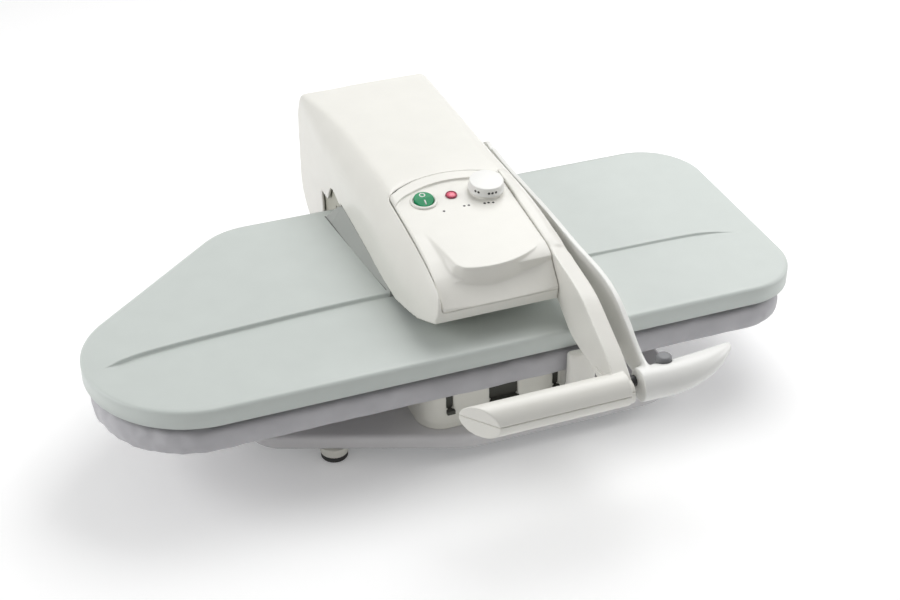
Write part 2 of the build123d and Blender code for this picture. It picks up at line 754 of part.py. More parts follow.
with BuildPart() as water_hoses:
    with BuildSketch(station(182)):
        with Locations((LEFT + 351, RIM + 34)):
            Circle(4)
            Circle(2.5, mode=Mode.SUBTRACT)
    extrude(amount=22)
    with BuildSketch(level(6)):
        with Locations(spot(351, 152)):
            Circle(4)
            Circle(2.5, mode=Mode.SUBTRACT)
    extrude(amount=14)

# Shaft that both levers of the handle turn on
with BuildPart() as lever_shaft:
    with BuildSketch(across(299)):
        with Locations(side(LEVER_DEPTH, LEVER_HEIGHT)):
            Circle(LEVER_SHAFT_R)
    extrude(amount=144)


# Top line of each lever in side view, from the back to the grip
INNER_TOP = [(70, 66), (45, 62.8), (22, 59), (-7, 55.2), (-22, 51.5), (-38, 44.5), (-58, 34.5), (-78, 24)]
OUTER_TOP = [(236, 60), (134, 61), (84, 62), (50, 61), (11, 54.8), (-9, 51), (-30, 44), (-47, 35), (-64, 26),
             (-80, 18)]


def lever_form(start, stop, top_line, rear, drop=0):
    """Side form of a lever, its top falling by a drop from left to right."""
    nose = GRIP_R - drop
    with BuildPart() as form:
        with BuildSketch(across(start)):
            with BuildLine():
                top = Spline(*[side(*point) for point in top_line], side(GRIP_DEPTH, nose))
                ThreePointArc(top @ 1, side(GRIP_DEPTH - nose, 0), side(GRIP_DEPTH, -nose))
                under = Spline(side(GRIP_DEPTH, -nose), side(-67, -8), side(-38, -2.5), side(-8, 1.5),
                               side(19, 17), side(60, 21))
                Polyline(under @ 1, *[side(*point) for point in rear], top @ 0)
            make_face()
        extrude(amount=((stop - start) ** 2 + drop ** 2) ** 0.5, dir=(stop - start, 0, -drop))
    return form.part


def lever_neck(start, stop, hub_r):
    """Low bar from the lever to its bored hub."""
    with BuildPart() as neck:
        with BuildSketch(across(start)):
            with BuildLine():
                Polyline(side(110, 24), side(250, 37.5), side(250, LEVER_HEIGHT + hub_r - 0.5),
                         side(110, 44), close=True)
            make_face()
            with Locations(side(LEVER_DEPTH, LEVER_HEIGHT)):
                Circle(hub_r)
                Circle(LEVER_SHAFT_R + RUNNING, mode=Mode.SUBTRACT)
        extrude(amount=stop - start)
    return neck.part


def lever_shoulder():
    """Upper end of the inner lever, flush with the arm's right shoulder."""
    with BuildPart() as shoulder:
        with BuildSketch(across(LEVER_LEFT)):
            Polygon(side(45, 21), side(180, 30), side(180, 95), side(45, 95), align=None)
        extrude(amount=LEVER_RIGHT - LEVER_LEFT)
        add(arm_form(), mode=Mode.INTERSECT)
        add(lever_end(LEVER_END_R, LEVER_LEFT - 1, LEVER_RIGHT + 1), mode=Mode.INTERSECT)
    return shoulder.part


def left_grip_form():
    """Inner lever and left grip before they are parted, with the grip's slanted end."""
    with BuildPart() as form:
        add(lever_form(LEVER_LEFT, LEVER_RIGHT, INNER_TOP, [(70, 21.5)], LEVER_DROP))
        with BuildSketch(across(276)):
            with Locations(side(GRIP_DEPTH, 0)):
                Circle(GRIP_R)
        extrude(amount=150)
        with BuildSketch(Plane(origin=(LEFT + 292.4, FRONT + GRIP_DEPTH, RIM), x_dir=(0, 0, 1),
                               z_dir=(-0.76, -0.65, -0.04))):
            Rectangle(120, 120)
        extrude(amount=60, mode=Mode.SUBTRACT)
    return form.part


# Inner lever of the handle, moulded in one with the upper part of the left grip
GRIP_SEAM = 1.5
with BuildPart() as inner_lever:
    add(left_grip_form())
    add(lever_shoulder())
    add(lever_neck(416, 425, 10))
    with BuildSketch(level(GRIP_SEAM)):
        with Locations(spot(350, -95)):
            Rectangle(190, 70)
    extrude(amount=-20, mode=Mode.SUBTRACT)

# Lower cover of the left grip
with BuildPart() as left_grip_cover:
    add(left_grip_form())
    with BuildSketch(level(GRIP_SEAM - SEAM)):
        with Locations(spot(350, -95)):
            Rectangle(190, 70)
    extrude(amount=-30, mode=Mode.INTERSECT)

# Outer lever: a thin upright blade, bowed out beside the arm
with BuildPart() as outer_lever:
    add(lever_form(430, 460, OUTER_TOP, [(126, 24), (236, 35.3)]))
    add(lever_neck(430, 460, 12))
    with BuildSketch(level(-30)):
        with BuildLine():
            outside = Spline(spot(441, 262), spot(441.5, 172), spot(442, 83), spot(443.5, 42),
                             spot(BLADE_BOW - 2.5, 14), spot(BLADE_BOW, -14), spot(BLADE_BOW, -70),
                             spot(BLADE_BOW, -112))
            inside = Spline(spot(BLADE_BOW - BLADE_THICK, -112), spot(BLADE_BOW - BLADE_THICK, -70),
                            spot(BLADE_BOW - BLADE_THICK, -14), spot(BLADE_BOW - BLADE_THICK - 2.5, 14),
                            spot(443.5 - BLADE_THICK, 42), spot(442 - BLADE_THICK, 83),
                            spot(441.5 - BLADE_THICK, 172), spot(441 - BLADE_THICK, 262))
            Line(outside @ 1, inside @ 0)
            Line(inside @ 1, outside @ 0)
        make_face()
    extrude(amount=120, mode=Mode.INTERSECT)
    # Round root of the right grip, which closes the gap to the inner lever
    with BuildSketch(across(438.5)):
        with Locations(side(GRIP_DEPTH, 0)):
            Circle(GRIP_R)
    extrude(amount=BLADE_BOW - 438.5)

# Right grip: a horn that tapers to an upturned tip
with BuildPart() as right_grip:
    for along, depth, height, half_depth, half_height in (
            (BLADE_BOW + 0.3, -95, 0, 15, 14.5), (488, -94, 1.5, 15, 13), (514, -89, 5, 11, 8.5),
            (532, -82, 9, 4, 3)):
        with BuildSketch(across(along)):
            with Locations(side(depth, height)):
                Ellipse(half_depth, half_height)
    loft()
    with BuildSketch(level(6)):
        with Locations(spot(466, -86)):
            Circle(7.2)
    extrude(amount=20, mode=Mode.SUBTRACT)

# Thumb button for steam, sunk in the root of the right grip
with BuildPart() as steam_button:
    with BuildSketch(level(9.5)):
        with Locations(spot(466, -86)):
            Circle(6.9)
    extrude(amount=9)
    fillet(steam_button.faces().sort_by(Axis.Z)[-1].edges(), radius=2.5)

# Spacer and screw that join the two levers at the grips
with BuildPart() as lever_spacer:
    with BuildSketch(across(LEVER_RIGHT)):
        with Locations(side(-88, 0)):
            Circle(5)
    extrude(amount=438.5 - LEVER_RIGHT)

pieces = {
    "base_tray": base_tray, "base_plate": base_plate, "foot_posts": foot_posts,
    "foot_pads": foot_pads, "pedestal": pedestal, "board_pan": board_pan,
    "foam_pad": foam_pad, "board_cover": board_cover, "column_frame": column_frame,
    "column_cover": column_cover, "cord_gland": cord_gland, "hinge_shaft": hinge_shaft,
    "hinge_clips": hinge_clips, "balance_spring": balance_spring, "lock_post": lock_post,
    "plate_cover": plate_cover, "heating_plate": heating_plate,
    "heating_element": heating_element, "insulation_mat": insulation_mat,
    "plate_posts": plate_posts, "arm_frame": arm_frame, "hinge_bushes": hinge_bushes,
    "arm_housing": arm_housing, "fascia": fascia, "switch_housing": switch_housing,
    "power_switch": power_switch, "lamp_lens": lamp_lens, "thermostat": thermostat,
    "knob_spindle": knob_spindle, "temperature_knob": temperature_knob,
    "control_board": control_board, "water_tank": water_tank, "steam_pump": steam_pump,
    "water_hoses": water_hoses, "lever_shaft": lever_shaft, "inner_lever": inner_lever,
    "left_grip_cover": left_grip_cover, "outer_lever": outer_lever, "right_grip": right_grip,
    "steam_button": steam_button, "lever_spacer": lever_spacer,
}
for name, piece in pieces.items():
    piece.part.label = name
    export_step(piece.part, f"parts/{name}.step")
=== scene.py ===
import json
from math import atan2, cos, exp, hypot, pi, radians, sin, sqrt, tanh

import bmesh
import bpy
from mathutils import Matrix, Vector, noise as field


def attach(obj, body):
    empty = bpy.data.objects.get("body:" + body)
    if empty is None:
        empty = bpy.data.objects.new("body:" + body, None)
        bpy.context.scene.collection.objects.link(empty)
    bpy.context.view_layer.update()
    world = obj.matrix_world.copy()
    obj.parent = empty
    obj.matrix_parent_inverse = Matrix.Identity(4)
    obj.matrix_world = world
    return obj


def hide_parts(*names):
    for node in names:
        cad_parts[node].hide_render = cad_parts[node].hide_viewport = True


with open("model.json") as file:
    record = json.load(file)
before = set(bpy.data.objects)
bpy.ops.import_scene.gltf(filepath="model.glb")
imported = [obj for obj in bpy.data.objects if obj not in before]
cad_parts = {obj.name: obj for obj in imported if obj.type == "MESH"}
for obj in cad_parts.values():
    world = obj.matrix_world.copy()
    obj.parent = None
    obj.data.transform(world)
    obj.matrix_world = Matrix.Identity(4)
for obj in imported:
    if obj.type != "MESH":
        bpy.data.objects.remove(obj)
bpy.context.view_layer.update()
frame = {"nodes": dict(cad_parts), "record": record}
record = frame["record"]

# Places are given as in the part: along from the board's pointed end, depth from the front edge of
# the plate's cover, height from its top edge, in millimetres. The frame itself is in metres.
MM = 0.001
LEFT, FRONT, RIM = -332.0, -144.0, 117.0
PAD_TILT = radians(5.5)
PAD_DEPTH, PAD_HEIGHT = 131.0, 71.9
SWITCH_AT = (331.7, 142.3)
LAMP_AT = (359.3, 143.5)
KNOB_AT = (393.0, 141.5)
KNOB_RISE = 2.9


def at(along, depth, height):
    """A place on the press as a vector in the frame."""
    return Vector((LEFT + along, FRONT + depth, RIM + height)) * MM


def place_of(point):
    """Along, depth and height of a vector in the frame."""
    return point.x / MM - LEFT, point.y / MM - FRONT, point.z / MM - RIM


def pad_height(depth):
    """Height of the tilted control pad's face."""
    return PAD_HEIGHT + (depth - PAD_DEPTH) * sin(PAD_TILT) / cos(PAD_TILT)


def on_pad(place, rise=0.0):
    """Frame of the tilted control pad at a plan position: x along, y to the rear, z out of the pad."""
    along, depth = place
    foot = Matrix.Translation(at(along, depth, pad_height(depth)))
    return foot @ Matrix.Rotation(PAD_TILT, 4, "X") @ Matrix.Translation((0, 0, rise * MM))


# Materials

def new_material(name, color, roughness, metallic=0.0):
    """Principled material with its uniform numbers on the shader's own sockets."""
    made = bpy.data.materials.new(name)
    made.use_nodes = True
    shader = made.node_tree.nodes["Principled BSDF"]
    shader.inputs["Base Color"].default_value = (*color, 1)
    shader.inputs["Roughness"].default_value = roughness
    shader.inputs["Metallic"].default_value = metallic
    made.diffuse_color = (*color, 1)
    return made


def link(made, source, target):
    made.node_tree.links.new(source, target)


def noise(made, scale, detail=4.0):
    """Noise in object space, in cells per metre."""
    nodes = made.node_tree.nodes
    place = nodes.new("ShaderNodeTexCoord")
    texture = nodes.new("ShaderNodeTexNoise")
    texture.inputs["Scale"].default_value = scale
    texture.inputs["Detail"].default_value = detail
    link(made, place.outputs["Object"], texture.inputs["Vector"])
    return texture.outputs["Fac"]


def vary_color(made, source, low, high):
    """Base colour between two tones."""
    ramp = made.node_tree.nodes.new("ShaderNodeValToRGB")
    ramp.color_ramp.elements[0].position = 0.3
    ramp.color_ramp.elements[1].position = 0.7
    ramp.color_ramp.elements[0].color = (*low, 1)
    ramp.color_ramp.elements[1].color = (*high, 1)
    link(made, source, ramp.inputs["Fac"])
    link(made, ramp.outputs["Color"], made.node_tree.nodes["Principled BSDF"].inputs["Base Color"])


def vary_roughness(made, source, low, high):
    """Roughness between two values."""
    span = made.node_tree.nodes.new("ShaderNodeMapRange")
    span.inputs["To Min"].default_value = low
    span.inputs["To Max"].default_value = high
    link(made, source, span.inputs["Value"])
    link(made, span.outputs["Result"], made.node_tree.nodes["Principled BSDF"].inputs["Roughness"])


def bump(made, source, height_mm, strength=1.0):
    """Surface relief of a height in millimetres."""
    relief = made.node_tree.nodes.new("ShaderNodeBump")
    relief.inputs["Distance"].default_value = height_mm * MM
    relief.inputs["Strength"].default_value = strength
    link(made, source, relief.inputs["Height"])
    link(made, relief.outputs["Normal"], made.node_tree.nodes["Principled BSDF"].inputs["Normal"])


def moulded(name, color, roughness, grain=0.02, shade=0.03):
    """Moulded plastic: a fine spark-eroded grain and a faint uneven tone."""
    made = new_material(name, color, roughness)
    vary_color(made, noise(made, 35), [c * (1 - shade) for c in color], color)
    vary_roughness(made, noise(made, 60), roughness - 0.04, roughness + 0.05)
    bump(made, noise(made, 2600, 2), grain)
    return made


def plated(name, color, roughness):
    """Plated or turned metal with a fine streak."""
    made = new_material(name, color, roughness, metallic=1.0)
    vary_roughness(made, noise(made, 300), roughness - 0.06, roughness + 0.1)
    return made


def woven(name, low, high):
    """Plain weave: two crossed sets of fine threads under a soft sheen."""
    made = new_material(name, high, 0.62)
    nodes = made.node_tree.nodes
    shader = nodes["Principled BSDF"]
    shader.inputs["Sheen Weight"].default_value = 0.25
    shader.inputs["Sheen Roughness"].default_value = 0.4
    vary_color(made, noise(made, 28, 3), low, high)
    place = nodes.new("ShaderNodeTexCoord")
    threads = []
    for turn in (0, pi / 2):
        mapping = nodes.new("ShaderNodeMapping")
        mapping.inputs["Rotation"].default_value = (0, 0, turn + 0.3)
        wave = nodes.new("ShaderNodeTexWave")
        wave.inputs["Scale"].default_value = 330
        wave.inputs["Distortion"].default_value = 0.6
        link(made, place.outputs["Object"], mapping.inputs["Vector"])
        link(made, mapping.outputs["Vector"], wave.inputs["Vector"])
        threads.append(wave.outputs["Fac"])
    cross = nodes.new("ShaderNodeMath")
    cross.operation = "MULTIPLY"
    link(made, threads[0], cross.inputs[0])
    link(made, threads[1], cross.inputs[1])
    bump(made, cross.outputs["Value"], 0.12, 0.5)
    return made


ivory = moulded("ivory_plastic", (0.78, 0.77, 0.72), 0.34)
white = moulded("white_plastic", (0.80, 0.80, 0.775), 0.30)
cream = moulded("cream_plastic", (0.80, 0.79, 0.72), 0.45)
base_grey = moulded("base_plastic", (0.66, 0.65, 0.655), 0.45)
green_grey = moulded("green_grey_plastic", (0.56, 0.60, 0.575), 0.42)
grey = moulded("grey_plastic", (0.16, 0.163, 0.17), 0.4)
dark = moulded("dark_plastic", (0.03, 0.03, 0.032), 0.45)
switch_green = moulded("switch_green", (0.0, 0.24, 0.09), 0.3, grain=0.005)
lamp_red = moulded("lamp_red", (0.80, 0.12, 0.2), 0.12, grain=0.004)
lamp_rim = moulded("lamp_rim", (0.30, 0.02, 0.06), 0.25)
# Painted shade: a darker copy of the green-grey plastic for the wedge under the arm
wedge_painted_shade = moulded("wedge_painted_shade", (0.36, 0.375, 0.355), 0.5)
# Painted shade: dark grey for the shaded groove along the wedge's foot
groove_painted_shade = moulded("groove_painted_shade", (0.16, 0.165, 0.155), 0.6)
# Painted shade: a darker copy of the cream plastic for the wall inside the flank's notch
notch_painted_shade = moulded("notch_painted_shade", (0.40, 0.395, 0.33), 0.5)
slot_shade = moulded("slot_shade", (0.055, 0.055, 0.045), 0.7)
cloth = woven("board_cloth", (0.43, 0.425, 0.445), (0.50, 0.495, 0.515))
foam = moulded("foam", (0.75, 0.72, 0.6), 0.95, grain=0.4)
rubber = moulded("rubber", (0.025, 0.025, 0.025), 0.7)
silicone = moulded("silicone", (0.7, 0.7, 0.68), 0.4)
zinc = plated("zinc_steel", (0.6, 0.61, 0.62), 0.35)
bright = plated("bright_steel", (0.7, 0.7, 0.7), 0.2)
bronze = plated("bronze", (0.55, 0.36, 0.17), 0.4)
aluminium = plated("cast_aluminium", (0.55, 0.55, 0.56), 0.42)
board_green = moulded("circuit_board", (0.05, 0.2, 0.08), 0.4)
tank = moulded("tank_plastic", (0.7, 0.75, 0.8), 0.3)

# The switch stays green where the sky would otherwise show in it
switch_green.node_tree.nodes["Principled BSDF"].inputs["Specular IOR Level"].default_value = 0.25

finish_of = {
    "ivory_plastic": ivory, "white_plastic": white, "cream_plastic": cream, "base_plastic": base_grey,
    "green_grey_plastic": green_grey, "grey_plastic": grey, "dark_plastic": dark,
    "switch_green": switch_green, "lamp_red": lamp_red, "board_cloth": cloth, "foam": foam,
    "rubber": rubber, "silicone": silicone, "zinc_steel": zinc, "bright_steel": bright,
    "bronze": bronze, "cast_aluminium": aluminium, "circuit_board": board_green, "tank_plastic": tank,
}
slot_of = {part["node"]: part["material_slot"] for part in record["subparts"]}
body_of = {node: body for body, members in record["behaviour"]["bodies"].items() for node in members}

for node_name, solid in frame["nodes"].items():
    solid.data.materials.clear()
    solid.data.materials.append(finish_of[slot_of[node_name]])


# Pieces

def settle(piece):
    """Applies a piece's modifiers to its mesh."""
    graph = bpy.context.evaluated_depsgraph_get()
    mesh = bpy.data.meshes.new_from_object(piece.evaluated_get(graph))
    piece.modifiers.clear()
    piece.data = mesh


def dress(piece, body, slot, finish=None):
    """Gives a piece the body that it moves with and its slot's finish, or one of its own."""
    piece.data.materials.clear()
    piece.data.materials.append(finish_of[slot])
    piece.data.shade_smooth()
    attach(piece, body)
    if finish:
        piece.data.materials[0] = finish


def stand_in(piece, node):
    """Shows a piece in place of a CAD node, with that node's finish and body."""
    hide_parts(node)
    dress(piece, body_of[node], slot_of[node])


def add_object(name, mesh):
    """New object of a mesh, in the scene."""
    piece = bpy.data.objects.new(name, mesh)
    bpy.context.collection.objects.link(piece)
    return piece


def from_bmesh(name, work):
    """New object of a finished bmesh, with its faces turned outwards."""
    mesh = bpy.data.meshes.new(name)
    bmesh.ops.recalc_face_normals(work, faces=work.faces)
    work.to_mesh(mesh)
    work.free()
    return add_object(name, mesh)


def moulding(node, voxel, rounds, keep=0.5, prepare=None, shape=None, also=()):
    """Copy of a CAD node with the rounded edges of a moulding, which stands in for it.

    prepare changes the copied mesh before the remesh, shape the piece after it, and also names
    further nodes that the piece stands in for.
    """
    piece = add_object(node + "_moulding", frame["nodes"][node].data.copy())
    if prepare:
        prepare(piece.data)
    remesh = piece.modifiers.new("remesh", "REMESH")
    remesh.mode = "VOXEL"
    remesh.voxel_size = voxel * MM
    if shape:
        settle(piece)
        shape(piece)
    smooth = piece.modifiers.new("smooth", "SMOOTH")
    smooth.iterations = rounds
    thin = piece.modifiers.new("thin", "DECIMATE")
    thin.ratio = keep
    settle(piece)
    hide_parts(*also)
    stand_in(piece, node)


def bridge(work, rings):
    """Faces between neighbouring closed rings of vertices. A ring of one vertex is a point."""
    count = max(len(ring) for ring in rings)
    for low, high in zip(rings, rings[1:]):
        for i in range(count):
            corners = [low[i % len(low)], low[(i + 1) % len(low)],
                       high[(i + 1) % len(high)], high[i % len(high)]]
            work.faces.new(list(dict.fromkeys(corners)))


def turned(name, profile, place, segments=96):
    """Surface of revolution about the z axis of a place, from radius and height in millimetres."""
    work = bmesh.new()
    rings = []
    for radius, height in profile:
        if radius:
            ring = [work.verts.new((radius * MM * cos(2 * pi * i / segments),
                                    radius * MM * sin(2 * pi * i / segments), height * MM))
                    for i in range(segments)]
        else:
            ring = [work.verts.new((0, 0, height * MM))]
        rings.append(ring)
    bridge(work, rings)
    piece = from_bmesh(name, work)
    piece.data.transform(place)
    return piece


def rounded(outer, top, radius, steps=6):
    """Corner of a turned profile, from the side wall round to the top."""
    return [(outer - radius + radius * cos(pi / 2 * i / steps),
             top - radius + radius * sin(pi / 2 * i / steps)) for i in range(steps + 1)]


# Plate cover: a sheet moulding, with a fine riser that fades out towards both ends

PLATE_LENGTH, PLATE_DEPTH = 664, 279
# Corners of the plan: centre along and depth, radius, first and last angle
NOSE_FRONT = (100, 100, 100, 180, 270)
END_FRONT = (609, 55, 55, 270, 360)
END_REAR = (602, 217, 62, 0, 90)
SHOULDER = (193, 210.5, 68.5, 90, 130)
NOSE_REAR = (80.9, 100, 80.9, 130, 180)
CORNERS = [NOSE_FRONT, END_FRONT, END_REAR, SHOULDER, NOSE_REAR]
# Ends of the straight slanting edge behind the nose
SLANT_START, SLANT_END = (28.8, 161.9), (149, 263)
COVER_R = 3.2
COVER_DEEP = 18.0
COVER_WALL = 3.0
COVER_LIP = 0.8
# The crease over the cover, as along and depth, and the rise of the face behind it
CREASE = [(0, 88), (20, 92), (55, 100.5), (144, 107.5), (249, 112), (359, 111), (484, 107.5), (583, 106),
          (614, 102.5), (645, 92), (664, 84)]
CREASE_RISE = 4.2


def arc_reach(corner, along):
    """How far a corner's arc lies from its centre, across the press, at a place along it."""
    middle, _, radius = corner[:3]
    return sqrt(max(0.0, radius ** 2 - (along - middle) ** 2))


def slant_slope():
    """Steps along and across of the slanting edge."""
    return SLANT_END[0] - SLANT_START[0], SLANT_END[1] - SLANT_START[1]


def edge_depths(along):
    """Front and rear edge of the plate's plan at a place along it."""
    front, rear = 0.0, float(PLATE_DEPTH)
    if along < NOSE_FRONT[0]:
        front = NOSE_FRONT[1] - arc_reach(NOSE_FRONT, along)
    if along > END_FRONT[0]:
        front = END_FRONT[1] - arc_reach(END_FRONT, along)
    if along < SLANT_START[0]:
        rear = NOSE_REAR[1] + arc_reach(NOSE_REAR, along)
    elif along < SLANT_END[0]:
        run, climb = slant_slope()
        rear = SLANT_START[1] + (along - SLANT_START[0]) * climb / run
    elif along < SHOULDER[0]:
        rear = SHOULDER[1] + arc_reach(SHOULDER, along)
    if along > END_REAR[0]:
        rear = END_REAR[1] + arc_reach(END_REAR, along)
    return front, rear


def along_line(points, along):
    """Smooth height of a drawn line at a place, by Catmull-Rom through its points."""
    for i in range(len(points) - 1):
        if along <= points[i + 1][0] or i == len(points) - 2:
            x0, y0 = points[i]
            x1, y1 = points[i + 1]
            before = points[max(0, i - 1)]
            after = points[min(len(points) - 1, i + 2)]
            m0 = (y1 - before[1]) / (x1 - before[0])
            m1 = (after[1] - y0) / (after[0] - x0)
            t = (along - x0) / (x1 - x0)
            w = x1 - x0
            return ((2 * t ** 3 - 3 * t ** 2 + 1) * y0 + (t ** 3 - 2 * t ** 2 + t) * w * m0
                    + (3 * t ** 2 - 2 * t ** 3) * y1 + (t ** 3 - t ** 2) * w * m1)


def smoothstep(low, high, value):
    """Nought below low, one above high, and a smooth rise between."""
    t = min(1.0, max(0.0, (value - low) / (high - low)))
    return t * t * (3 - 2 * t)


def edge_distance(along, depth):
    """Distance in from the plan's edge."""
    gap = min(depth, PLATE_DEPTH - depth, PLATE_LENGTH - along)
    for c_along, c_depth, radius, first, last in CORNERS:
        angle = atan2(depth - c_depth, along - c_along) % (2 * pi)
        if radians(first) - 1e-6 <= angle <= radians(last) + 1e-6:
            gap = min(gap, radius - hypot(along - c_along, depth - c_depth))
    run, climb = slant_slope()
    slant = ((along - SLANT_START[0]) * climb - (depth - SLANT_START[1]) * run) / hypot(climb, run)
    return max(0.0, min(gap, slant))


def cover_height(along, depth):
    """Height of the cover's upper face: rounded rim and the riser of the crease."""
    gap = edge_distance(along, depth)
    rim = 0.0 if gap >= COVER_R else sqrt(COVER_R ** 2 - (COVER_R - gap) ** 2) - COVER_R
    behind = depth - along_line(CREASE, along)
    strength = smoothstep(16, 36, along) * (1 - smoothstep(600, 647, along))
    strength *= 1 - 0.35 * smoothstep(440, 520, along)
    step = 0.5 * CREASE_RISE * strength * tanh(behind / 0.4) * exp(-abs(behind) / 34)
    return rim + step * smoothstep(0, 14, gap)


def build_cover():
    """Upper face on a grid with rows along the crease, then the side wall and the turned-in edge."""
    columns = ([100 * (1 - cos(pi / 2 * i / 40)) for i in range(40)]
               + [100 + 509 * i / 150 for i in range(150)]
               + [609 + 55 * sin(pi / 2 * i / 30) for i in range(31)])
    near = [0.5 * (1 - cos(pi * i / 22)) for i in range(23)]
    fine = [1 - (1 - t) ** 1.7 for t in near]
    work = bmesh.new()
    rows = []
    for along in columns:
        front, rear = edge_depths(along)
        margin = 0.3 * (rear - front)
        middle = min(max(along_line(CREASE, along), front + margin), rear - margin)
        depths = ([front + (middle - front) * t for t in fine]
                  + [rear - (rear - middle) * t for t in reversed(fine[:-1])])
        if rear - front < 0.01:
            depths = [front] * len(depths)
        rows.append([work.verts.new(at(along, d, cover_height(along, d))) for d in depths])
    for left, right in zip(rows, rows[1:]):
        for i in range(len(left) - 1):
            work.faces.new((left[i], right[i], right[i + 1], left[i + 1]))
    bmesh.ops.remove_doubles(work, verts=work.verts, dist=0.00002)
    rim = [e for e in work.edges if e.is_boundary]
    for height, inset in ((-COVER_DEEP + COVER_LIP, 0), (-COVER_DEEP, COVER_LIP),
                          (-COVER_DEEP, COVER_WALL), (-4, COVER_WALL)):
        grown = bmesh.ops.extrude_edge_only(work, edges=rim)["geom"]
        points = [g for g in grown if isinstance(g, bmesh.types.BMVert)]
        rim = [g for g in grown if isinstance(g, bmesh.types.BMEdge) and g.is_boundary]
        for v in points:
            along, depth, _ = place_of(v.co)
            if inset:
                gap = edge_distance(along, depth)
                middle = Vector((min(max(along, 100), 602), min(max(depth, 100), 215)))
                inward = (middle - Vector((along, depth))).normalized() * (inset - gap)
                along, depth = along + inward.x, depth + inward.y
            v.co = at(along, depth, height)
    piece = from_bmesh("plate_cover_shell", work)
    stand_in(piece, "plate_cover")


# Corners of the wedge that the arm rests on, in plan at its foot and at its brow, and the brow's heights
WEDGE_FOOT = [(271, 267), (272.4, 252), (285.7, 111), (432.3, 111), (445.6, 252), (447, 267)]
WEDGE_BROW = [(286.6, 267), (286.6, 252), (286.6, 111), (431.4, 111), (431.4, 252), (431.4, 267)]
WEDGE_HEIGHTS = [8, 16.6, 4.6, 4.6, 16.6, 8]
WEDGE_SUNK = 3
# Section of the painted shade strip in the groove along the foot, as across and lift from the wedge's face
# and the cover
GROOVE_SECTION = [(-0.3, -0.4), (-0.3, 0.15), (1.1, 0.15), (1.1, -0.4)]
GROOVE_STEPS = 24


def build_wedge():
    """Wedge on the cover, with flared sides, in a darker copy of the green-grey plastic that paints shade on
    it.
    """
    work = bmesh.new()
    lower = [work.verts.new(at(a, d, -WEDGE_SUNK)) for a, d in WEDGE_FOOT]
    upper = [work.verts.new(at(a, d, h)) for (a, d), h in zip(WEDGE_BROW, WEDGE_HEIGHTS)]
    work.faces.new(lower)
    work.faces.new((upper[5], upper[4], upper[1], upper[0]))
    work.faces.new((upper[4], upper[3], upper[2], upper[1]))
    for i in range(6):
        work.faces.new((lower[i], upper[i], upper[(i + 1) % 6], lower[(i + 1) % 6]))
    bmesh.ops.bevel(work, geom=work.edges[:], offset=0.6 * MM, segments=3, affect="EDGES", profile=0.6)
    dress(from_bmesh("cover_wedge", work), "arm", "green_grey_plastic", wedge_painted_shade)


def build_groove_shade():
    """Painted shade: a dark strip on the cover along both sides of the wedge's foot, where the groove lies
    in shade.
    """
    work = bmesh.new()
    (_, rear), (_, knee), (_, front) = WEDGE_FOOT[:3]
    rear_height, front_height = WEDGE_HEIGHTS[1:3]
    for back, tip, brow, outward in ((0, 2, 286.6, -1), (5, 3, 431.4, 1)):
        foot_rear, foot_front = WEDGE_FOOT[back][0], WEDGE_FOOT[tip][0]
        rows = []
        for i in range(GROOVE_STEPS + 1):
            depth = 266.5 - 155 * i / GROOVE_STEPS
            foot = foot_rear + (foot_front - foot_rear) * (rear - depth) / (rear - front)
            rise = cover_height(foot, depth)
            top = front_height + (rear_height - front_height) * (min(depth, knee) - front) / (knee - front)
            face = foot + (brow - foot) * (rise + WEDGE_SUNK) / (top + WEDGE_SUNK)
            rows.append([work.verts.new(at(face + outward * across, depth, rise + lift))
                         for across, lift in GROOVE_SECTION])
        bridge(work, rows)
        work.faces.new(rows[0])
        work.faces.new(list(reversed(rows[-1])))
    dress(from_bmesh("wedge_groove_shade", work), "arm", "green_grey_plastic", groove_painted_shade)


# Padded board: foam drawn over with cloth, pressed flat by the plate and bulging at its edge

BOARD_SHIFT = (-3, -6.5)
BOARD_TOP, BOARD_LOW = -22.4, -49.2
BULGE_CAP = 2.2
PUFF_FRAMES = 20
OUTLINE_STEPS = 14


def board_outline(inset):
    """Points round the plan of the board, anticlockwise from the left tip."""
    points = []
    for along, depth, radius, first, last in CORNERS:
        count = max(3, round(OUTLINE_STEPS * (last - first) / 45))
        for i in range(count + 1):
            angle = radians(first + (last - first) * i / count)
            points.append((along + BOARD_SHIFT[0] + (radius - inset) * cos(angle),
                           depth + BOARD_SHIFT[1] + (radius - inset) * sin(angle)))
    return points


def board_gap(along, depth):
    """Distance in from the board's edge."""
    return edge_distance(along - BOARD_SHIFT[0], depth - BOARD_SHIFT[1])


def pad_form():
    """Closed body of the board, rounded above and below, from insets and heights."""
    work = bmesh.new()
    profile = [(26, BOARD_LOW), (12.0, BOARD_LOW), (9.0, BOARD_LOW + 0.5), (7.9, BOARD_LOW + 2.5),
               (7.6, BOARD_LOW + 8), (7.8, BOARD_LOW + 16), (9.0, BOARD_TOP - 6), (11.2, BOARD_TOP - 3),
               (14.5, BOARD_TOP - 0.9), (19, BOARD_TOP - 0.2), (26, BOARD_TOP)]
    rings = [[work.verts.new(at(a, d, height)) for a, d in board_outline(inset)]
             for inset, height in profile]
    bridge(work, rings)
    work.faces.new(list(reversed(rings[0])))
    work.faces.new(rings[-1])
    return from_bmesh("board_cloth", work)


